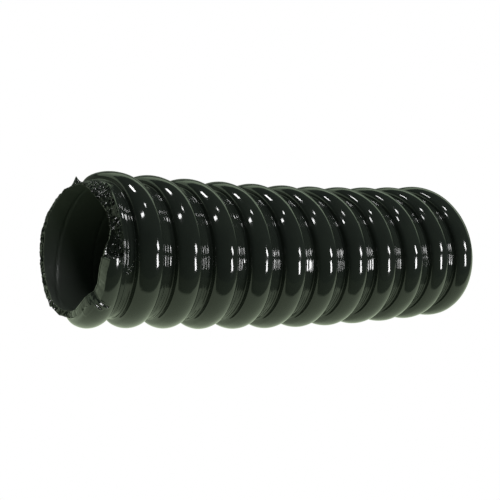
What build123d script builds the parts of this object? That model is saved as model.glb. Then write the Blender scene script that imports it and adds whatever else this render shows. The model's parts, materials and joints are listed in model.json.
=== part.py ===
from build123d import *
import math
import os

# A flexible air duct: one soft PVC strip wound into a tube, whose domed rib holds a rigid PVC core.
# Millimetres. The origin is the centre of the near end's bore, +X is the chord to the centre of the
# far end, and +Z is up. The duct lies in a gentle level arc, so its middle bulges towards -Y.

# Driving dimensions of the duct
BORE_RADIUS = 31.5
RIB_RADIUS = 40.0            # at the rib's crest, half the outside diameter
PITCH = 21.1                 # from one turn of the rib to the next, wound right-handed
LENGTH = 243.2               # along the axis
ARC_RADIUS = 1042.0          # of the axis, as the duct lies
RIB_START_AZIMUTH = 100.8    # where the rib's crest meets the near end, degrees from +Y towards +Z

# The strip's section, measured along the axis from the middle of its rib. A raised lip on the near
# side laps over the flat tail of the turn before.
WEB_THICKNESS = 1.5
LAP_CLEARANCE = 0.3          # between a lip and the tail under it
TAIL_REACH = 11.5
LIP_REACH = 11.4
LIP_ROOT = 8.3
RIB_CROWN_RADIUS = 11.0
RIB_CROWN_HALF_ANGLE = 33.0  # degrees from the crest, where the crown meets a shoulder
RIB_SHOULDER_RADIUS = 3.8
RIB_SIDE_ANGLE = 75.0        # degrees from the crest, where a shoulder meets the straight side

# The rigid core inside the rib
CORE_DIAMETER = 5.5
CORE_PATH_RADIUS = 36.0
CORE_CLEARANCE = 0.05

# How the duct is divided for bending. Each cut crosses the rib three quarters of a turn after the
# last, so the hinge lines through the cuts lie level and upright in turn.
CUT_STEP = 270.0             # degrees of winding from one cut to the next
FIRST_CUT = 540.0            # azimuth of the first cut, a turn and a half on: the -Y side
CUT_COUNT = 13
WALL_GAP = 0.3               # between two spans of the strip
CORE_GAP = 0.9               # between two spans of the core, which turn on the cut

# The ends, cut square
END_STEP = 0.4               # least depth of strip left at a cut end, so that it has no feather edge
CORE_COVER = 0.6             # strip left between the core and a cut end

# Making allowances
BORE_ALLOWANCE = 0.2         # the strip is wound this much small, then bored out
LONGEST_WINDING = 150.0      # degrees
TUNNEL_RUN_ON = 5.0          # degrees
TURN = 360.0


def azimuth_at(place):
    """Azimuth of the rib's crest at a distance along the axis."""
    return RIB_START_AZIMUTH + TURN * place / PITCH


def place_of(azimuth):
    """Distance along the axis where the rib's crest has an azimuth."""
    return (azimuth - RIB_START_AZIMUTH) / TURN * PITCH


def spans():
    """Name, start, end and plane of each span. A span is straight, and the spans follow the arc."""
    cuts = [place_of(FIRST_CUT + CUT_STEP * index) for index in range(CUT_COUNT)]
    stations = [0.0] + cuts + [LENGTH]
    names = ["near_end"] + [f"{number:02d}" for number in range(1, CUT_COUNT)] + ["far_end"]
    found = []
    corner = Vector(0, 0, 0)
    for name, start, end in zip(names, stations, stations[1:]):
        heading = ((start + end) / 2 - LENGTH / 2) / ARC_RADIUS
        along = Vector(math.cos(heading), math.sin(heading), 0)
        across = Vector(-math.sin(heading), math.cos(heading), 0)
        found.append((name, start, end, Plane(origin=corner, x_dir=across, z_dir=along)))
        corner = corner + along * (end - start)
    return found


def rib_section():
    """The domed rib: a wide crown arc, two shoulder arcs and two leaning sides down to the web."""
    crown_centre = RIB_RADIUS - RIB_CROWN_RADIUS
    reach = RIB_CROWN_RADIUS - RIB_SHOULDER_RADIUS
    turn_in, turn_out = math.radians(RIB_CROWN_HALF_ANGLE), math.radians(RIB_SIDE_ANGLE)
    shoulder = (crown_centre + reach * math.cos(turn_in), reach * math.sin(turn_in))

    def on_shoulder(angle):
        return (
            shoulder[0] + RIB_SHOULDER_RADIUS * math.cos(angle),
            shoulder[1] + RIB_SHOULDER_RADIUS * math.sin(angle),
        )

    touch, bend, side = [on_shoulder(a) for a in (turn_in, (turn_in + turn_out) / 2, turn_out)]
    base = BORE_RADIUS + WEB_THICKNESS
    foot = (base, side[1] + (side[0] - base) / math.tan(turn_out))
    touch_2, bend_2, side_2, foot_2 = [(x, -y) for x, y in (touch, bend, side, foot)]
    outline = [
        ThreePointArc(touch_2, (RIB_RADIUS, 0), touch),
        ThreePointArc(touch, bend, side),
        Line(side, foot),
        Line(foot, foot_2),
        Line(foot_2, side_2),
        ThreePointArc(side_2, bend_2, touch_2),
    ]
    return make_face(Curve() + outline)


def strip_section():
    """The whole strip: x is the radius and y runs along the axis, from the middle of the rib."""
    inner = BORE_RADIUS - BORE_ALLOWANCE
    web_top = BORE_RADIUS + WEB_THICKNESS
    lip_bottom = web_top + LAP_CLEARANCE
    lip_top = lip_bottom + WEB_THICKNESS
    web = [
        (inner, -LIP_ROOT),
        (lip_bottom, -LIP_ROOT),
        (lip_bottom, -LIP_REACH),
        (lip_top, -LIP_REACH),
        (lip_top, 0),
        (web_top, 0),
        (web_top, TAIL_REACH),
        (inner, TAIL_REACH),
    ]
    return make_face(Polyline(*web, close=True)) + rib_section()


def core_section(diameter):
    return Pos(CORE_PATH_RADIUS, 0) * Circle(diameter / 2)


def wind(section, start, end):
    """Sweep a section round +Z from one azimuth to another. Azimuth 0 is at height 0."""
    path = Helix(PITCH, PITCH * (end - start) / TURN, CORE_PATH_RADIUS)
    turned = sweep(Plane.XZ * section, path=path, is_frenet=True)
    return Pos(0, 0, PITCH * start / TURN) * Rot(0, 0, start) * turned


def winding(length):
    """Degrees of winding that move the rib's crest a length along the axis."""
    return TURN * length / PITCH


def half_gap(gap):
    """Degrees of winding that half a gap takes at the core."""
    return math.degrees(gap / 2 / CORE_PATH_RADIUS)


def make_strip(near, far, tunnel_near, tunnel_far, keep):
    """A span of the strip, tunnelled for the core and trimmed to a bored block. It is wound in short
    lengths that are joined, because a face of more than a turn meets itself."""
    count = math.ceil((far - near) / LONGEST_WINDING)
    step = (far - near) / count
    strip = None
    for index in range(count):
        start = near + step * index
        length = wind(strip_section(), start, start + step)
        first, last = max(start, tunnel_near), min(start + step, tunnel_far)
        if last > first:
            # the tunnel runs past a joint between two lengths, but not past its own end
            first -= TUNNEL_RUN_ON if first > tunnel_near else 0
            last += TUNNEL_RUN_ON if last < tunnel_far else 0
            length -= wind(core_section(CORE_DIAMETER + 2 * CORE_CLEARANCE), first, last)
        length = length & keep
        strip = length if strip is None else strip + length
    return strip


def make_span(start, end, at_near_end, at_far_end):
    """Strip and core of one span, wound round +Z with the span's start at height 0."""
    near, far = azimuth_at(start), azimuth_at(end)
    strip_near, strip_far = near + half_gap(WALL_GAP), far - half_gap(WALL_GAP)
    core_near, core_far = near + half_gap(CORE_GAP), far - half_gap(CORE_GAP)
    tunnel_near, tunnel_far = near, far
    inset = winding(CORE_DIAMETER / 2 + CORE_COVER)
    rise = PITCH * near / TURN
    low, high = rise - LENGTH, rise + LENGTH
    if at_near_end:
        strip_near = near - winding(TAIL_REACH - END_STEP)
        core_near, tunnel_near = near + inset, near + inset - winding(CORE_CLEARANCE)
        low = rise
    if at_far_end:
        strip_far = far + winding(LIP_REACH - END_STEP)
        core_far, tunnel_far = far - inset, far - inset + winding(CORE_CLEARANCE)
        high = rise + end - start
    bored = Cylinder(2 * RIB_RADIUS, high - low) - Cylinder(BORE_RADIUS, high - low)
    keep = Pos(0, 0, (low + high) / 2) * bored
    strip = make_strip(strip_near, strip_far, tunnel_near, tunnel_far, keep)
    core = wind(core_section(CORE_DIAMETER), core_near, core_far)
    return Pos(0, 0, -rise) * strip, Pos(0, 0, -rise) * core


def main():
    os.makedirs("parts", exist_ok=True)
    layout = spans()
    first_cut, second_cut = layout[1][1:3]
    middle = make_span(first_cut, second_cut, False, False)
    for name, start, end, plane in layout:
        at_near_end, at_far_end = name == "near_end", name == "far_end"
        if at_near_end or at_far_end:
            pieces = make_span(start, end, at_near_end, at_far_end)
        else:
            # the spans between the ends are copies of one, turned to their place on the helix
            pieces = [Rot(0, 0, azimuth_at(start) - azimuth_at(first_cut)) * piece for piece in middle]
        for kind, piece in zip(("strip", "core"), pieces):
            export_step(plane.location * piece, f"parts/{kind}_{name}.step")


main()
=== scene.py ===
import json
import math

import bpy
import numpy as np
from mathutils import Matrix, Vector

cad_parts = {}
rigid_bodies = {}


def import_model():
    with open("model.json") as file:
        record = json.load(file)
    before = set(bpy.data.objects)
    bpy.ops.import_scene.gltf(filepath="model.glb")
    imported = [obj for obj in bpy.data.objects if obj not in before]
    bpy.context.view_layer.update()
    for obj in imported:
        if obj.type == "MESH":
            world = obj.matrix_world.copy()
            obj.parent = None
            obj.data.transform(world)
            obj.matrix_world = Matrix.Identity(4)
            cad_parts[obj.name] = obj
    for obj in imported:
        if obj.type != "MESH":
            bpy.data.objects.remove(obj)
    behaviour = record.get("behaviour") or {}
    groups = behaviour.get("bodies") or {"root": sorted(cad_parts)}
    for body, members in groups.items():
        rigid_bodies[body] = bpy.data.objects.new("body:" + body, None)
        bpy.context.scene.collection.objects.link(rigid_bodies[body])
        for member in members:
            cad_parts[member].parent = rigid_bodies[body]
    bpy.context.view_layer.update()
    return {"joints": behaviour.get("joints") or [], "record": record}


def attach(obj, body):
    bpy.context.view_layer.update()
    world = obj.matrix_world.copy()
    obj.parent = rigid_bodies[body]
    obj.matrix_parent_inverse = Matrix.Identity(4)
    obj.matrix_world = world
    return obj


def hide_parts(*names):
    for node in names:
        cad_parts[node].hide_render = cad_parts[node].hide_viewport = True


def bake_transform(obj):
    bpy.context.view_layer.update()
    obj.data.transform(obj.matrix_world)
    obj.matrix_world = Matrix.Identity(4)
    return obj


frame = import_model()

# ---------------------------------------------------------------- dimensions, millimetres and degrees
MM = 0.001
TURN = 360.0
BORE = 31.5                  # radius of the bore
CREST = 40.0                 # radius over the rib's crest
VALLEY = 35.0                # radius of the valley floor between ribs
CROWN_RADIUS = 11.0          # the rib's broad top
CROWN_ANGLE = 30.0
SHOULDER_RADIUS = 3.3        # its rounded shoulders
FLANK_ANGLE = 79.0
FOOT_RADIUS = 0.8            # the small hollow where rib meets valley
RIDGE_HEIGHT = 0.05          # faint ridges that the wound edge leaves on the valley floor
RIDGE_SPACING = 1.55
RIDGE_PLACE = 0.45           # of one ridge's top, from the valley's middle
RIDGE_CHANGE = (0.8, 23)     # how much their height comes and goes, and over what length
RIDGE_DRIFT = (0.5, 37)      # how far they drift sideways, in radians of their spacing, and over what length
LAP_STEP = 0.28              # height of the lapped edge
LAP_PLACE = -0.9             # from the valley's middle
LAP_SOFTNESS = 0.12
DETAIL_REACH = 0.9           # how far the ridges and the lap run past the rib's foot
DETAIL_FADE = 1.2            # the length over which they fade out
UNEVENNESS = ((0.05, 31), (0.012, 9))        # of the whole surface: height and length of its waves
WELD_GROOVE = (0.25, 0.8)    # depth and half width of the groove along the weld in the bore
FIRST_JOINT_AZIMUTH = 180.0  # the crest's azimuth at the first joint
CUT_STEP = 270.0             # how far the rib turns from one joint to the next

# Mesh
OUTLINE_STEPS = 84           # rows per pitch
CROWN_POINTS, SHOULDER_POINTS, FOOT_POINTS = 15, 9, 5
AZIMUTH_STEPS = 240
END_AZIMUTH_STEPS = 480
BORE_ROWS = 26
CUT_ROWS = 50
CORE_STEPS = 61
STEP = 0.04                  # small step for working out normals

# The near end, cut by hand: (azimuth, place along the duct) of the bore's edge, and of the outside's
CUT_EDGE = (
    (0, -5.4), (20, -4.3), (27, -4.5), (32, -2.9), (44, -1.2), (60, -1.6), (80, -1.8), (94, 0.3), (106, 2.5),
    (117, 4.0), (127, 4.3), (133, 3.6), (141, 1.9), (149.5, 1.1), (151, 0.4), (160, 0.3), (172, 1.0),
    (184, 1.4), (192, -1.9), (205, -2.3), (220, -1.6), (234, -1.1), (246, -3.7), (264, -5.0), (300, -5.8),
    (348, -6.5),
)
CUT_OUTER_EDGE = (
    (0, 2.2), (20, 3.4), (40, 4.4), (55, 5.2), (75, 5.6), (90, 4.9), (101, 4.6), (111, 5.0), (117, 6.0),
    (125, 7.4), (135, 8.2), (148.5, 8.9), (150.5, 1.4), (160, 1.1), (172, 1.8), (184, 2.1), (192, -1.4),
    (205, -1.8), (220, -1.1), (234, -0.6), (246, -3.2), (264, -4.4), (280, -4.2), (300, -2.2), (320, 0.0),
    (348, 1.6),
)
# How rough the cut is, from 0 where it was sliced to 1 where it was torn
CUT_ROUGHNESS = (
    (0, 0.35), (50, 0.5), (75, 0.9), (90, 1), (148.5, 1), (150.5, 0.06), (225, 0.06), (240, 0.7), (330, 0.7),
)
# Its edges' raggedness: (seed, size of the bumps, height where sliced, height added where torn)
RAGGED_EDGE = ((3, 2.2, 0.3, 0.0), (5, 0.8, 0.1, 0.2))
# A flat rim round the bore: (azimuth, width), and how far it leans out of the duct
RIM = ((0, 1.0), (20, 0.7), (150, 0.7), (225, 0.7), (240, 2.6), (330, 3.2), (348, 1.6))
RIM_LEAN = ((0, 0.8), (25, 0.0), (232, 0.0), (250, 0.5), (330, 1.2))
RIM_MOST = 0.85              # of the wall's thickness
# A smooth ledge outside the rim, where the knife sliced: (azimuth, width)
LEDGE = ((125, 0.15), (128, 1.6), (140, 2.6), (148, 2.2), (150, 0.15))
LEDGE_NONE, LEDGE_FADE = 0.15, 0.6           # widths: there is none, and from none to a full one
LEDGE_MIDDLE, LEDGE_REACH = 139.0, 20.0
LEDGE_RISE = 0.7             # over the bore, in its middle
LEDGE_DROP = 0.23            # per mm along the duct
# The torn slope from there up to the outside
CUT_SHARES = (0, 0.16, 0.42, 1)              # of the cut's rows, up to each corner of its section
SMOOTH_SHARE = 0.45          # of the cut's rows, which stay smooth along the ledge
SLICE_CURVE, SLICE_POWER = 0.7, 4            # how far a sliced part curves along the duct, and how late
TEARS = 8                    # steps torn between the rim and the outside
TEAR_DEPTH = 1.17            # over 1, a step slopes back
TEAR_CHANGE = (23, 0.25, 1.8)                # seed, how much the depth comes and goes, and over what length
TEAR_SLANT = 0.22            # steps per degree round the duct
TEAR_WANDER = (19, 1.6, 2.5)                 # seed, how many steps the tears wander, and over what length
TEAR_ENDS = 0.25             # power of the sine that the steps' height fades by
TEAR_SHARPNESS = 8           # power that turns a step's edge
LUMPS = ((11, 1.3, 1.0), (13, 0.6, 0.5))     # of torn wall: seed, size and share
LUMP_HEIGHT = 0.35
LUMPS_LESS = 0.6             # lost on the slope
SPIKE = (37.0, 0.2, 4.6, 5.5, 2.4)           # azimuth, place, height, half widths in degrees and mm
CREASES = (                  # folds pressed into the end of the rib: azimuth and place of each end
    (203, -1.3, 185, -0.5), (184, 1.7, 188, 7.0), (187, 1.0, 190, 3.8),
)
CREASE = (0.55, 0.45)        # depth and half width of a crease
CREASE_BANK = (0.2, 1.0, 0.5)                # height, distance and half width of the bank beside it
CRUMBS = (                   # stuck in the valley: azimuth, place
    (144, 16.2), (150, 16.7), (151, 15.5), (155, 15.2), (156, 14.2), (158, 13.3), (160, 14.7), (162, 13.2),
    (152, 7.3), (143, 12.0), (135, 15.0),
)
CRUMB = (0.4, 0.4, 0.3)      # height, half width and length of a crumb

# How the duct's end is out of shape
LEAN = (38.0, 24.0, -4.4, 18.0, 75.0)        # azimuth, spread, most; full up to here, gone from there
FLARE = (235.0, 40.0, 1.5, 24.0)             # azimuth, spread, most, length
TILT = (132.0, 28.0, 0.28, 2.6)              # of the first valley: azimuth, spread, slope, half width

# The core, as the far end's face shows it
CORE_PATH, CORE_RADIUS = 36.0, 2.75
CORE_PROUD, CORE_DEPTH = 0.04, 0.4
CORE_TIP = 0.497             # of a half turn, which stops just short of its tips

# Colours
WHITE = (1, 1, 1, 1)
PVC_DARK = (0.011, 0.014, 0.012)
PVC_LIGHT = (0.024, 0.031, 0.023)
PVC_INSIDE = (0.055, 0.065, 0.055)           # the bore is greyer and duller
INSIDE = -1.0                # the bore's value of "cut", which is 0 outside and 1 where torn
FACET_TILT = 1.9             # how far the facets of a torn part turn
FACET_CENTRE = (0.40, 0.72, 0.28)            # the cube of their turns has this middle, so they lean -Y and up
CORE_DARK = (0.10, 0.11, 0.10)
CORE_LIGHT = (0.17, 0.18, 0.17)

# Camera, floor and lamps
CAMERA_AZIMUTH, CAMERA_ELEVATION, CAMERA_ROLL = -42.18, 30.45, 25.25
CAMERA_LENS, SENSOR_WIDTH = 86.4, 36.0
CAMERA_CLIP = (0.01, 20.0)
CAMERA_OFFSET = (-5.026, -5.274, 4.239)      # from the duct's middle, in outside diameters
FLOOR_SIZE = 3.0
FLOOR_GLOW = (               # what the gloss sees of the floor: (distance towards +Y in metres, colour)
    (-0.150, (0.10, 0.12, 0.09)), (-0.130, (0.70, 0.83, 0.60)),
    (0.090, (0.70, 0.83, 0.60)), (0.110, (0.21, 0.25, 0.19)),
)
FLOOR_HALF = 0.5
ROOM_COLOUR = (0.045, 0.055, 0.052)
BACKDROP_COLOUR = (0.74, 0.92, 0.66)         # a panel low behind the duct
BACKDROP_FOOT = (0.02, 0.09)                 # fades in and out between these heights, as sines of elevation
BACKDROP_TOP = (0.26, 0.31)
BACKDROP_SIDE = (0.0, 0.3)   # and in between these, towards +Y
LAMP_DISTANCE = 1.2
LAMP_RADIANCE = 26
LAMPS = (                    # name, azimuth, elevation, angular width and height
    ("front_low", 39, 18, 8, 15),
    ("front_high", 51, 33, 8, 9),
    ("top_right", 138, 73, 5, 5),
    ("top_left", -84, 75, 6, 14),
    ("back", -175, 48, 7, 12),
)

# ---------------------------------------------------------------- the frame: centre line, joints, pitch
record = frame["record"]
joints = frame["joints"]
mounts = {m["name"]: m for m in record["mounts"]}
near_centre = np.array(mounts["near_bore"]["pos_m"]) / MM
far_centre = np.array(mounts["far_bore"]["pos_m"]) / MM
pivots = [np.array(j["pos_m"]) / MM for j in joints]


def circle_through(a, b, c):
    """Centre and radius of the level circle through three points."""
    rows = np.array([b[:2] - a[:2], c[:2] - a[:2]])
    centre = np.linalg.solve(rows, [(b[:2] @ b[:2] - a[:2] @ a[:2]) / 2, (c[:2] @ c[:2] - a[:2] @ a[:2]) / 2])
    return centre, float(np.linalg.norm(a[:2] - centre))


arc_centre, ARC_RADIUS = circle_through(near_centre, pivots[len(pivots) // 2], far_centre)


def arc_angle(point):
    return math.atan2(point[1] - arc_centre[1], point[0] - arc_centre[0])


near_angle = arc_angle(near_centre)
LENGTH = ARC_RADIUS * (arc_angle(far_centre) - near_angle)
joint_places = [ARC_RADIUS * (arc_angle(p) - near_angle) for p in pivots]
JOINT_SPACING = (joint_places[-1] - joint_places[0]) / (len(joint_places) - 1)
PITCH = JOINT_SPACING * TURN / CUT_STEP
HALF_SLICE = JOINT_SPACING / 2


def place(s, azimuth, radius):
    """A point of the duct: s along the centre line, azimuth from inside the bend (+Y) towards +Z."""
    angle = near_angle + s / ARC_RADIUS
    out = -radius * np.cos(np.radians(azimuth))
    x = arc_centre[0] + (ARC_RADIUS + out) * np.cos(angle)
    y = arc_centre[1] + (ARC_RADIUS + out) * np.sin(angle)
    return np.stack([x, y, radius * np.sin(np.radians(azimuth))], -1)


def crest_place(azimuth):
    """Where along the duct the rib's crest is at an azimuth, for the turn nearest the first joint."""
    return joint_places[0] + PITCH * (azimuth - FIRST_JOINT_AZIMUTH) / TURN


DUCT_MIDDLE = Vector(place(LENGTH / 2, 0.0, 0.0) * MM)
FLOOR_HEIGHT = -CREST * MM


def angle_between(azimuth, other):
    return np.abs(np.mod(azimuth - other + TURN / 2, TURN) - TURN / 2)


def bump(distance, width):
    """1 where there is no distance, fading out over about a width."""
    return np.exp(-((distance / width) ** 2))


def lean(s, azimuth):
    """How far the ribs lean along the duct, near its cut end."""
    centre, spread, most, full, gone = LEAN
    fade = np.clip((gone - s) / (gone - full), 0, 1)
    return most * fade * bump(angle_between(azimuth, centre), spread)


def flare(s, azimuth):
    """How far the wall stands out of round near the cut end."""
    centre, spread, most, length = FLARE
    return most * bump(angle_between(azimuth, centre), spread) * bump(np.maximum(s, 0), length)


def round_the_duct(points, azimuth):
    """Values round the duct, in straight steps through points (azimuth, value)."""
    places = np.array([p[0] for p in points], float)
    values = np.array([p[1] for p in points], float)
    places = np.concatenate([places - TURN, places, places + TURN])
    return np.interp(np.mod(azimuth, TURN), places, np.tile(values, 3))


LATTICE_SIZE = 32
LATTICE = np.random.default_rng(11).uniform(-1, 1, (LATTICE_SIZE,) * 3)


def rough(points, size, seed):
    """Smooth noise between -1 and 1 at points in mm, with bumps of about a size. A seed moves them."""
    at = points / size + seed * np.array([1.0, 2.3, -1.7])
    cell = np.floor(at).astype(int)
    t = at - cell
    t = t * t * (3 - 2 * t)
    total = 0.0
    for i in (0, 1):
        for j in (0, 1):
            for k in (0, 1):
                corner = LATTICE[tuple(np.moveaxis((cell + (i, j, k)) % LATTICE_SIZE, -1, 0))]
                total = total + corner * np.prod(np.where((i, j, k), t, 1 - t), -1)
    return total


# ---------------------------------------------------------------- the strip's outline over one pitch
def arc_points(centre, radius, first, last, count):
    angles = np.radians(np.linspace(first, last, count, endpoint=False))
    return [(centre[0] + radius * math.sin(a), centre[1] + radius * math.cos(a)) for a in angles]


def half_rib():
    """Points (distance from the crest, radius) from the crest down to the valley floor."""
    points = arc_points((0, CREST - CROWN_RADIUS), CROWN_RADIUS, 0, CROWN_ANGLE, CROWN_POINTS)
    sine, cosine = math.sin(math.radians(CROWN_ANGLE)), math.cos(math.radians(CROWN_ANGLE))
    shrink = CROWN_RADIUS - SHOULDER_RADIUS
    shoulder = (shrink * sine, CREST - CROWN_RADIUS + shrink * cosine)
    points += arc_points(shoulder, SHOULDER_RADIUS, CROWN_ANGLE, FLANK_ANGLE, SHOULDER_POINTS)
    sine, cosine = math.sin(math.radians(FLANK_ANGLE)), math.cos(math.radians(FLANK_ANGLE))
    top = (shoulder[0] + SHOULDER_RADIUS * sine, shoulder[1] + SHOULDER_RADIUS * cosine)
    foot_height = VALLEY + FOOT_RADIUS * (1 - cosine)
    foot_x = top[0] + (top[1] - foot_height) * cosine / sine
    points += [(top[0] + (foot_x - top[0]) * t, top[1] + (foot_height - top[1]) * t) for t in (0, 0.33, 0.67)]
    foot_centre = (foot_x + FOOT_RADIUS * sine, VALLEY + FOOT_RADIUS)
    points += [
        (foot_centre[0] - FOOT_RADIUS * math.sin(a), foot_centre[1] - FOOT_RADIUS * math.cos(a))
        for a in np.radians(np.linspace(FLANK_ANGLE, 0, FOOT_POINTS))
    ]
    return np.array(points)


RIB = half_rib()
FOOT = RIB[-1, 0]


def base_radius(x):
    """Outer radius at a distance from the nearest crest, before the fine detail."""
    return np.interp(np.abs(x), RIB[:, 0], RIB[:, 1])


def outline_offsets():
    """Distances along the duct from one crest to the next, closer together where the outline turns."""
    floor = np.linspace(FOOT, PITCH - FOOT, OUTLINE_STEPS + 1 - 2 * (len(RIB) - 1))
    return np.concatenate([RIB[:-1, 0], floor, PITCH - RIB[-2:0:-1, 0]])


OFFSETS = outline_offsets()
WAVE_TIGHTNESS = ((0.6, 1.3), (0.95, 1.05), (1.3, 0.8), (1.65, 0.55))          # how tight, along and around
WAVES_TOGETHER = 1.6         # their size when added up
WAVES = np.random.default_rng(7).uniform(0, 2 * math.pi, (4, 2 * len(WAVE_TIGHTNESS)))


def waver(s, azimuth, length, row):
    """A slow wandering of about unit size: crossed waves of about a length, in mm, over the surface."""
    total = 0.0
    for i, (tight_along, tight_around) in enumerate(WAVE_TIGHTNESS):
        along = 2 * math.pi / length * tight_along
        around = max(1, round(2 * math.pi * CREST / length * tight_around))
        wave = np.sin(along * s + WAVES[row, i])
        total = total + wave * np.sin(around * np.radians(azimuth) + WAVES[row, i + len(WAVE_TIGHTNESS)])
    return total / WAVES_TOGETHER


def outer_radius(s, azimuth):
    """The strip's outer surface, with its lapped edge, faint ridges and slight unevenness."""
    upright = s - lean(s - lean(s, azimuth), azimuth)
    turns = (upright - crest_place(azimuth)) / PITCH
    x = (turns - np.floor(turns)) * PITCH
    near = np.where(x > PITCH / 2, x - PITCH, x)
    across = x - PITCH / 2
    window = np.clip((PITCH / 2 - FOOT + DETAIL_REACH - np.abs(across)) / DETAIL_FADE, 0, 1)
    change, change_length = RIDGE_CHANGE
    drift, drift_length = RIDGE_DRIFT
    height = RIDGE_HEIGHT * (1 + change * waver(s, azimuth, change_length, 0))
    phase = 2 * math.pi * (across - RIDGE_PLACE) / RIDGE_SPACING + drift * waver(s, azimuth, drift_length, 1)
    lap = LAP_STEP / (1 + np.exp((across - LAP_PLACE) / LAP_SOFTNESS))
    radius = base_radius(near) + window * (height * np.cos(phase) + lap) + flare(s, azimuth)
    for row, (rise, length) in enumerate(UNEVENNESS, 2):
        radius = radius + rise * waver(s, azimuth, length, row)
    return radius


def bore_radius(s, azimuth):
    """The bore, with a shallow groove along the weld."""
    depth, half_width = WELD_GROOVE
    turns = (s - crest_place(azimuth)) / PITCH
    x = (turns - np.floor(turns)) * PITCH - PITCH / 2
    return BORE + depth * bump(x, half_width) + flare(s, azimuth)


# ---------------------------------------------------------------- meshes
class Wall:
    """A piece of the duct's wall, gathered as grids that run round the duct and made one closed mesh."""

    def __init__(self):
        self.points, self.faces, self.normals, self.values = [], [], [], []
        self.count = 0

    def add(self, points, value=0.0):
        """Adds a grid of points, columns round the duct and rows along it; returns their numbers."""
        ids = self.count + np.arange(points[..., 0].size).reshape(points.shape[:-1])
        self.points.append(points.reshape(-1, 3))
        self.values.append(np.broadcast_to(value, points.shape[:-1]).reshape(-1))
        self.count += ids.size
        return ids

    def weave(self, ids, normals, rows_per_turn=0):
        """Faces of a grid whose last column meets its first, rows_per_turn rows further on."""
        shifted = np.minimum(np.arange(ids.shape[1]) + rows_per_turn, ids.shape[1] - 1)
        ids = np.concatenate([ids, ids[:1, shifted]])
        normals = np.concatenate([normals, normals[:1, shifted]])
        first, second = slice(None, -1), slice(1, None)
        corners = ((first, first), (second, first), (second, second), (first, second))
        self.faces.append(np.stack([ids[c] for c in corners], -1).reshape(-1, 4))
        self.normals.append(np.stack([normals[c] for c in corners], -2).reshape(-1, 4, 3))

    def make(self, name):
        """The mesh object. Corners that fall together are dropped, and so are faces with fewer than three."""
        points, values = np.concatenate(self.points), np.concatenate(self.values)
        faces, normals = np.concatenate(self.faces), np.concatenate(self.normals)
        kept = faces != np.roll(faces, 1, 1)
        whole = kept.sum(1) >= 3
        faces, normals, kept = faces[whole], normals[whole], kept[whole]
        used, numbers = np.unique(faces, return_inverse=True)
        numbers = numbers.reshape(faces.shape)
        corners = kept.sum(1)
        mesh = bpy.data.meshes.new(name)
        mesh.vertices.add(len(used))
        mesh.vertices.foreach_set("co", (points[used] * MM).astype(np.float32).ravel())
        mesh.loops.add(int(corners.sum()))
        mesh.loops.foreach_set("vertex_index", numbers[kept].astype(np.int32))
        mesh.polygons.add(len(faces))
        mesh.polygons.foreach_set("loop_start", (np.cumsum(corners) - corners).astype(np.int32))
        mesh.polygons.foreach_set("use_smooth", np.ones(len(faces), bool))
        mesh.update(calc_edges=True)
        cut = mesh.attributes.new("cut", "FLOAT", "POINT")
        cut.data.foreach_set("value", values[used].astype(np.float32))
        mesh.normals_split_custom_set(normals[kept].tolist())
        piece = bpy.data.objects.new(name, mesh)
        bpy.context.scene.collection.objects.link(piece)
        return piece


def surface_normals(radius_of, s, azimuth, outward):
    """Normals of the surface radius_of(s, azimuth), from small steps along it and around it."""
    along = place(s + STEP, azimuth, radius_of(s + STEP, azimuth))
    along = along - place(s - STEP, azimuth, radius_of(s - STEP, azimuth))
    around = place(s, azimuth + STEP, radius_of(s, azimuth + STEP))
    around = around - place(s, azimuth - STEP, radius_of(s, azimuth - STEP))
    normals = np.cross(around, along)
    normals /= np.linalg.norm(normals, axis=-1, keepdims=True)
    return normals if outward else -normals


def winding_rows(s0, s1, azimuths):
    """Rows that follow the rib round the duct, held between s0 and s1 (a number, or one for each azimuth).
    Returns each point's place along the duct, and which row each point falls together with."""
    first = math.floor((np.min(s0) - crest_place(TURN)) / PITCH) - 1
    last = math.ceil((np.max(s1) - crest_place(0)) / PITCH) + 1
    rows = np.concatenate([OFFSETS + PITCH * k for k in range(first, last)])
    s0, s1 = np.reshape(s0, (-1, 1)), np.reshape(s1, (-1, 1))
    s = crest_place(azimuths)[:, None] + rows[None, :]
    s = s + lean(s, azimuths[:, None])
    low = (s <= s0).sum(1, keepdims=True) - 1
    high = (s < s1).sum(1, keepdims=True)
    return np.clip(s, s0, s1), np.clip(np.arange(len(rows))[None, :], low, high)


def tangent_at(s):
    angle = near_angle + s / ARC_RADIUS
    return np.array([-math.sin(angle), math.cos(angle), 0.0])


def add_outer(wall, s0, s1, azimuths, radius_of):
    """Adds the outer surface; returns the ids of its first and last rows."""
    s, together = winding_rows(s0, s1, azimuths)
    around = np.broadcast_to(azimuths[:, None], s.shape)
    normals = surface_normals(radius_of, s, around, True)
    ids = wall.add(place(s, around, radius_of(s, around)))
    ids = np.take_along_axis(ids, together, 1)
    normals = np.take_along_axis(normals, together[..., None], 1)
    wall.weave(ids, normals, len(OFFSETS))
    return ids[:, 0], ids[:, -1]


def add_bore(wall, s0, s1, azimuths):
    """Adds the bore's surface from s1 back to s0; returns the ids of its first and last rows."""
    share = np.linspace(1, 0, BORE_ROWS)[None, :]
    s = np.reshape(s0, (-1, 1)) * (1 - share) + np.reshape(s1, (-1, 1)) * share
    s = np.broadcast_to(s, (len(azimuths), BORE_ROWS))
    around = np.broadcast_to(azimuths[:, None], s.shape)
    ids = wall.add(place(s, around, bore_radius(s, around)), INSIDE)
    wall.weave(ids, surface_normals(bore_radius, s, around, False))
    return ids[:, 0], ids[:, -1]


def close(wall, first, second, normal):
    """A flat ring of faces between two rows."""
    wall.weave(np.stack([first, second], 1), np.broadcast_to(normal, (len(first), 2, 3)))


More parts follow.
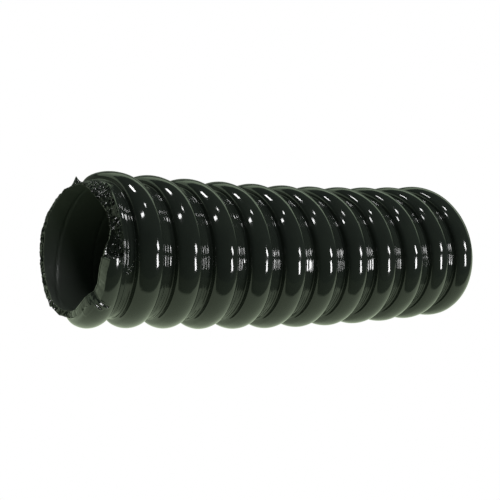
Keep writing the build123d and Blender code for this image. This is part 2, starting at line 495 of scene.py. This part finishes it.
def duct_slice(name, s0, s1):
    """The wall between two square cuts."""
    azimuths = np.arange(AZIMUTH_STEPS) * TURN / AZIMUTH_STEPS
    wall = Wall()
    outer_start, outer_end = add_outer(wall, s0, s1, azimuths, outer_radius)
    bore_end, bore_start = add_bore(wall, s0, s1, azimuths)
    close(wall, outer_end, bore_end, tangent_at(s1))
    close(wall, bore_start, outer_start, -tangent_at(s0))
    return wall.make(name)


# ---------------------------------------------------------------- the hand-cut near end
def segment_distance(s, azimuth, ends):
    """Distance in mm over the rib's surface from the line between two places (azimuth, s, azimuth, s)."""
    scale = math.radians(CREST)
    first, second = np.array([ends[0] * scale, ends[1]]), np.array([ends[2] * scale, ends[3]])
    at = np.stack([azimuth * scale, s], -1) - first
    along = second - first
    share = np.clip(at @ along / (along @ along), 0, 1)
    return np.linalg.norm(at - share[..., None] * along, axis=-1)


def end_radius(s, azimuth):
    """The outer surface near the cut, with a tilted valley, creases and crumbs."""
    radius = outer_radius(s, azimuth)
    middle, spread, slope, half = TILT
    across = s - crest_place(azimuth) + PITCH / 2
    fade = np.exp(-((angle_between(azimuth, middle) / spread) ** 4) - (across / half) ** 4)
    radius = radius + slope * across * fade
    depth, half_width = CREASE
    height, away, bank_half_width = CREASE_BANK
    for crease in CREASES:
        distance = segment_distance(s, azimuth, crease)
        radius = radius - depth * bump(distance, half_width) + height * bump(distance - away, bank_half_width)
    height, half_width, length = CRUMB
    for crumb in CRUMBS:
        distance = segment_distance(s, azimuth, (*crumb, crumb[0] + length, crumb[1] + length))
        radius = radius + height * bump(distance, half_width)
    return radius


def cut_edges(azimuths):
    """Where along the duct the cut meets the bore and the outside, and how rough it is."""
    rim = place(0, azimuths, BORE)
    roughness = round_the_duct(CUT_ROUGHNESS, azimuths)
    ragged = sum(
        (sliced + torn * roughness) * rough(rim, size, seed) for seed, size, sliced, torn in RAGGED_EDGE
    )
    inner, outer = round_the_duct(CUT_EDGE, azimuths), round_the_duct(CUT_OUTER_EDGE, azimuths)
    return inner + ragged, outer + ragged, roughness


def cut_section(azimuths, inner, outer):
    """The cut's section at each azimuth: the places and radii of four corners, at the bore, the rim's edge,
    the ledge's edge and the outside. Also how far it is a sliced ledge, from 0 to 1."""
    low, high = bore_radius(inner, azimuths), end_radius(outer, azimuths)
    thick = np.minimum(round_the_duct(RIM, azimuths), RIM_MOST * (high - low))
    front = inner - round_the_duct(RIM_LEAN, azimuths)
    ledge = round_the_duct(LEDGE, azimuths)
    sliced = np.clip((ledge - LEDGE_NONE) / LEDGE_FADE, 0, 1)
    turned = np.clip(azimuths - LEDGE_MIDDLE, -LEDGE_REACH, LEDGE_REACH)
    flat = (BORE + LEDGE_RISE) / np.cos(np.radians(turned))
    middle = (1 - sliced) * (low + thick) + sliced * flat
    places = np.stack([inner, front, front + ledge, outer], -1)
    radii = np.stack([low, middle, middle - LEDGE_DROP * sliced * ledge, high], -1)
    return places, radii, sliced


def cut_face(azimuths, inner, outer, roughness):
    """Points of the cut, a column for each azimuth and rows from the bore to the outside, and how torn
    each is."""
    places, radii, sliced = cut_section(azimuths, inner, outer)
    wall_above = radii[:, 3:] - radii[:, 1:2]
    roughness, sliced = roughness[:, None], sliced[:, None]
    share = np.linspace(0, 1, CUT_ROWS)
    s = np.stack([np.interp(share, CUT_SHARES, corners) for corners in places])
    radius = np.stack([np.interp(share, CUT_SHARES, corners) for corners in radii])
    s = s + SLICE_CURVE * (1 - roughness) * share**SLICE_POWER
    s[:, -1] = outer
    around = np.broadcast_to(azimuths[:, None], s.shape)
    points = place(s, around, radius)
    smooth = sliced * (share < SMOOTH_SHARE)
    # steps torn one above another
    steep = np.clip((share - CUT_SHARES[2]) / (1 - CUT_SHARES[2]), 0, 1)
    seed, wander, length = TEAR_WANDER
    tear = steep * TEARS + TEAR_SLANT * around + wander * rough(points, length, seed)
    tear = tear - np.floor(tear)
    step = wall_above / TEARS * np.sin(math.pi * steep) ** TEAR_ENDS
    seed, change, length = TEAR_CHANGE
    depth = TEAR_DEPTH + change * rough(points, length, seed)
    radius = radius - depth * roughness * step * (tear - tear**TEAR_SHARPNESS)
    # lumps, large ones either way and small ones outwards
    (seed, size, large), (small_seed, small_size, small) = LUMPS
    lumps = large * rough(points, size, seed) + small * np.abs(rough(points, small_size, small_seed))
    lumps = lumps * roughness * np.sin(math.pi * share) * (1 - smooth) * (1 - LUMPS_LESS * (steep > 0))
    # the spike
    azimuth, spike_place, height, half_angle, half_length = SPIKE
    spike = np.clip(1 - np.abs(around - azimuth) / half_angle, 0, 1)
    spike = spike * np.clip(1 - np.abs(s - spike_place) / half_length, 0, 1)
    points = place(s - LUMP_HEIGHT * lumps, around, radius + LUMP_HEIGHT * lumps + height * spike)
    return points, roughness * (1 - smooth)


def near_end_piece(name, s1):
    """From the rough cut to the first slice."""
    azimuths = np.arange(END_AZIMUTH_STEPS) * TURN / END_AZIMUTH_STEPS
    inner, outer, roughness = cut_edges(azimuths)
    wall = Wall()
    outer_start, outer_end = add_outer(wall, outer, s1, azimuths, end_radius)
    bore_end, bore_start = add_bore(wall, inner, s1, azimuths)
    close(wall, outer_end, bore_end, tangent_at(s1))
    points, torn = cut_face(azimuths, inner, outer, roughness)
    ids = wall.add(points, torn)
    ids[:, 0], ids[:, -1] = bore_start, outer_start
    normals = np.cross(np.roll(points, -1, 0) - np.roll(points, 1, 0), np.gradient(points, axis=1))
    normals /= np.maximum(np.linalg.norm(normals, axis=-1, keepdims=True), 1e-9)
    wall.weave(ids, normals)
    return wall.make(name)


# ---------------------------------------------------------------- the core, where the square end cuts it
def core_section(name):
    """The long crescent of the core that shows in the far end's face."""
    middle = FIRST_JOINT_AZIMUTH + TURN * (LENGTH - joint_places[0]) / PITCH
    reach = CORE_RADIUS / PITCH * TURN
    azimuths = middle + reach * np.sin(np.linspace(-CORE_TIP, CORE_TIP, CORE_STEPS) * math.pi)
    half = np.sqrt(CORE_RADIUS**2 - ((azimuths - middle) / TURN * PITCH) ** 2)
    front, back = LENGTH + CORE_PROUD, LENGTH - CORE_DEPTH
    corners = [(front, half), (front, -half), (back, -half), (back, half)]
    points = np.stack([place(s, azimuths, CORE_PATH + side) for s, side in corners], 1).reshape(-1, 3)
    faces = [
        (4 * i + j, 4 * i + (j + 1) % 4, 4 * i + 4 + (j + 1) % 4, 4 * i + 4 + j)
        for i in range(CORE_STEPS - 1)
        for j in range(4)
    ]
    last = 4 * (CORE_STEPS - 1)
    faces += [(3, 2, 1, 0), (last, last + 1, last + 2, last + 3)]
    mesh = bpy.data.meshes.new(name)
    mesh.from_pydata((points * MM).tolist(), [], faces)
    piece = bpy.data.objects.new(name, mesh)
    bpy.context.scene.collection.objects.link(piece)
    return piece


# ---------------------------------------------------------------- materials
class Tree:
    """A node tree, with short ways of adding nodes whose inputs are values or other nodes' outputs."""

    def __init__(self, owner, empty=True):
        owner.use_nodes = True
        self.nodes, self.links = owner.node_tree.nodes, owner.node_tree.links
        if empty:
            self.nodes.clear()

    def feed(self, socket, value):
        """Sets a socket to a value, or links an output to it."""
        if isinstance(value, bpy.types.NodeSocket):
            self.links.new(value, socket)
        else:
            socket.default_value = value

    def add(self, kind, output, inputs=None, **settings):
        """Adds a node and returns one of its outputs. Inputs go by name or number."""
        node = self.nodes.new(kind)
        for name, value in settings.items():
            setattr(node, name, value)
        for socket, value in (inputs or {}).items():
            self.feed(node.inputs[socket], value)
        return node.outputs[output]

    def maths(self, operation, *inputs):
        return self.add("ShaderNodeMath", "Value", dict(enumerate(inputs)), operation=operation)

    def vectors(self, operation, *inputs):
        return self.add("ShaderNodeVectorMath", "Vector", dict(enumerate(inputs)), operation=operation)

    def mix(self, share, first, second):
        return self.add("ShaderNodeMixRGB", "Color", {"Fac": share, "Color1": first, "Color2": second})

    def axis(self, coordinates, name):
        """One axis of the object's coordinates, or of the direction looked in."""
        where = self.add("ShaderNodeTexCoord", coordinates)
        return self.add("ShaderNodeSeparateXYZ", name, {"Vector": where})

    def ramp(self, share, stops):
        """Colours along a ramp, from stops (position, colour)."""
        colour = self.add("ShaderNodeValToRGB", "Color", {"Fac": share})
        elements = colour.node.color_ramp.elements
        while len(elements) < len(stops):
            elements.new(1.0)
        for element, (position, value) in zip(elements, stops):
            element.position = position
            element.color = (*value, 1)
        return colour


def new_material(name):
    """A material, its tree and its shader."""
    material = bpy.data.materials.new(name)
    tree = Tree(material, empty=False)
    return material, tree, tree.nodes["Principled BSDF"]


def rigid_pvc():
    """Duller, harder PVC, freshly cut."""
    material, tree, shader = new_material("rigid_pvc")
    where = tree.add("ShaderNodeTexCoord", "Object")
    grain = tree.add("ShaderNodeTexNoise", "Fac", {"Vector": where, "Scale": 700.0})
    scratch = {"Height": grain, "Strength": 0.3, "Distance": 0.0002}
    tree.feed(shader.inputs["Base Color"], tree.ramp(grain, ((0.0, CORE_DARK), (1.0, CORE_LIGHT))))
    tree.feed(shader.inputs["Normal"], tree.add("ShaderNodeBump", "Normal", scratch))
    shader.inputs["Roughness"].default_value = 0.4
    return material


def torn_facets(tree, where):
    """Normals of small facets, each turned its own way."""
    turn = {"Vector": where, "Rotation": (0.6, 0.0, 0.5), "Scale": (1.25, 1.0, 0.5)}
    stretched = tree.add("ShaderNodeMapping", "Vector", turn)
    facet = tree.add("ShaderNodeTexVoronoi", "Color", {"Vector": stretched, "Scale": 1150.0})
    centred = tree.vectors("SUBTRACT", facet, FACET_CENTRE)
    surface = tree.add("ShaderNodeNewGeometry", "Normal")
    return tree.vectors("NORMALIZE", tree.vectors("MULTIPLY_ADD", centred, (FACET_TILT,) * 3, surface))


def soft_pvc():
    """Glossy bottle-green to black soft PVC, a little uneven, sparkling where it is torn and dull inside."""
    material, tree, shader = new_material("soft_pvc")
    where = tree.add("ShaderNodeTexCoord", "Object")
    cut = tree.add("ShaderNodeAttribute", "Fac", attribute_name="cut")
    inside = tree.add("ShaderNodeMapRange", "Result", {"Value": cut, "From Max": INSIDE})

    shade = tree.add("ShaderNodeTexNoise", "Fac", {"Vector": where, "Scale": 55.0, "Detail": 4.0})
    colour = tree.ramp(shade, ((0.0, PVC_DARK), (1.0, PVC_LIGHT)))
    tree.feed(shader.inputs["Base Color"], tree.mix(inside, colour, (*PVC_INSIDE, 1)))

    smear = tree.add("ShaderNodeTexNoise", "Fac", {"Vector": where, "Scale": 160.0, "Detail": 5.0})
    limits = {"Value": smear, "From Min": 0.45, "From Max": 0.8, "To Min": 0.07, "To Max": 0.16}
    dullness = tree.maths("MULTIPLY_ADD", cut, 0.06, tree.add("ShaderNodeMapRange", "Result", limits))
    tree.feed(shader.inputs["Roughness"], tree.maths("MULTIPLY_ADD", inside, 0.35, dullness))
    tree.feed(shader.inputs["Specular IOR Level"], tree.maths("MULTIPLY_ADD", cut, -0.1, 0.5))
    shader.inputs["IOR"].default_value = 1.5

    wave = tree.add("ShaderNodeTexNoise", "Fac", {"Vector": where, "Scale": 420.0, "Detail": 2.0})
    skin = tree.add("ShaderNodeBump", "Normal", {"Height": wave, "Strength": 0.05, "Distance": 0.0004})
    grit = tree.add("ShaderNodeTexVoronoi", "Distance", {"Vector": where, "Scale": 900.0})
    tear = {"Height": grit, "Strength": cut, "Distance": 0.0002, "Normal": skin}
    tear = tree.add("ShaderNodeBump", "Normal", tear)
    tree.feed(shader.inputs["Normal"], tree.mix(cut, tear, torn_facets(tree, where)))
    return material


# ---------------------------------------------------------------- floor, light, camera
def seen_and_lit(tree, kind, output, plain, lit):
    """Ends a tree with two shaders: white where it is looked at, and a colour where it lights the duct."""
    seen = tree.add("ShaderNodeLightPath", "Is Camera Ray")
    shaders = [tree.add(kind, 0, {"Color": colour}) for colour in (lit, plain)]
    either = tree.add("ShaderNodeMixShader", "Shader", {"Fac": seen, 1: shaders[0], 2: shaders[1]})
    tree.feed(tree.nodes.new(output).inputs["Surface"], either)


def floor_white():
    """Plain white. What the gloss sees of it is a bright strip under the duct."""
    material = bpy.data.materials.new("floor_white")
    tree = Tree(material)
    limits = {"Value": tree.axis("Object", "Y"), "From Min": -FLOOR_HALF, "From Max": FLOOR_HALF}
    across = tree.add("ShaderNodeMapRange", "Result", limits)
    glow = tree.ramp(across, [(0.5 + y / FLOOR_HALF / 2, colour) for y, colour in FLOOR_GLOW])
    seen_and_lit(tree, "ShaderNodeEmission", "ShaderNodeOutputMaterial", WHITE, glow)
    return material


def make_floor():
    bpy.ops.mesh.primitive_plane_add(size=FLOOR_SIZE, location=(*DUCT_MIDDLE[:2], FLOOR_HEIGHT))
    floor = bpy.context.object
    floor.name = "floor"
    floor.data.materials.append(floor_white())


def make_world():
    """White. What the gloss sees is a dark room with a dim backdrop low behind the duct."""
    world = bpy.data.worlds.new("studio")
    bpy.context.scene.world = world
    tree = Tree(world)

    def fade(name, limits, first, last):
        inputs = {"Value": tree.axis("Generated", name), "From Min": limits[0], "From Max": limits[1]}
        inputs |= {"To Min": first, "To Max": last}
        return tree.add("ShaderNodeMapRange", "Result", inputs, interpolation_type="SMOOTHSTEP")

    band = tree.maths("MULTIPLY", fade("Z", BACKDROP_FOOT, 0.0, 1.0), fade("Z", BACKDROP_TOP, 1.0, 0.0))
    share = tree.maths("MULTIPLY", band, fade("Y", BACKDROP_SIDE, 0.0, 1.0))
    colour = tree.mix(share, (*ROOM_COLOUR, 1), (*BACKDROP_COLOUR, 1))
    seen_and_lit(tree, "ShaderNodeBackground", "ShaderNodeOutputWorld", WHITE, colour)


def direction(azimuth, elevation):
    """Unit vector; azimuth 0 is towards -Y, and 90 towards +X."""
    a, e = math.radians(azimuth), math.radians(elevation)
    return Vector((math.sin(a) * math.cos(e), -math.cos(a) * math.cos(e), math.sin(e)))


def softbox(name, azimuth, elevation, width, height):
    """A lamp of a given angular width and height, in degrees, seen from the duct's middle."""
    light = bpy.data.lights.new(name, "AREA")
    light.shape = "RECTANGLE"
    light.size = 2 * LAMP_DISTANCE * math.tan(math.radians(width / 2))
    light.size_y = 2 * LAMP_DISTANCE * math.tan(math.radians(height / 2))
    light.energy = LAMP_RADIANCE * math.pi * light.size * light.size_y
    lamp = bpy.data.objects.new(name, light)
    bpy.context.scene.collection.objects.link(lamp)
    towards = direction(azimuth, elevation)
    lamp.location = DUCT_MIDDLE + towards * LAMP_DISTANCE
    lamp.rotation_euler = towards.to_track_quat("Z", "Y").to_matrix().to_euler()


def make_camera():
    data = bpy.data.cameras.new("camera")
    data.lens, data.sensor_width = CAMERA_LENS, SENSOR_WIDTH
    camera = bpy.data.objects.new("camera", data)
    bpy.context.scene.collection.objects.link(camera)
    back = direction(CAMERA_AZIMUTH, CAMERA_ELEVATION)
    level = Vector((math.cos(math.radians(CAMERA_AZIMUTH)), math.sin(math.radians(CAMERA_AZIMUTH)), 0))
    roll = math.radians(CAMERA_ROLL)
    right = level * math.cos(roll) + back.cross(level) * math.sin(roll)
    turn = Matrix((right, back.cross(right), back)).transposed().to_4x4()
    camera.matrix_world = Matrix.Translation(DUCT_MIDDLE + Vector(CAMERA_OFFSET) * 2 * CREST * MM) @ turn
    data.clip_start, data.clip_end = CAMERA_CLIP
    bpy.context.scene.camera = camera


# ---------------------------------------------------------------- build
def dress(piece, material):
    piece.data.materials.clear()
    piece.data.materials.append(material)


bodies = record["behaviour"]["bodies"]
pvc = soft_pvc()

near_end = near_end_piece("near_end_cut", joint_places[0] - HALF_SLICE)
dress(near_end, pvc)
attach(near_end, joints[0]["parent"])
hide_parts(*bodies[joints[0]["parent"]])

for number, (joint, s) in enumerate(zip(joints, joint_places), 1):
    piece = duct_slice(f"wound_strip_{number:02d}", s - HALF_SLICE, s + HALF_SLICE)
    dress(piece, pvc)
    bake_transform(piece)
    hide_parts(*bodies[joint["parent"]], *bodies[joint["child"]])

far_end = duct_slice("far_end_cut", joint_places[-1] + HALF_SLICE, LENGTH)
dress(far_end, pvc)
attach(far_end, joints[-1]["child"])
far_strip, far_core = bodies[joints[-1]["child"]]
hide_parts(far_strip)

core = core_section("core_section")
dress(core, rigid_pvc())
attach(core, joints[-1]["child"])
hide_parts(far_core)

make_world()
make_floor()
for lamp in LAMPS:
    softbox(*lamp)
make_camera()
bpy.context.scene.view_settings.view_transform = "Standard"
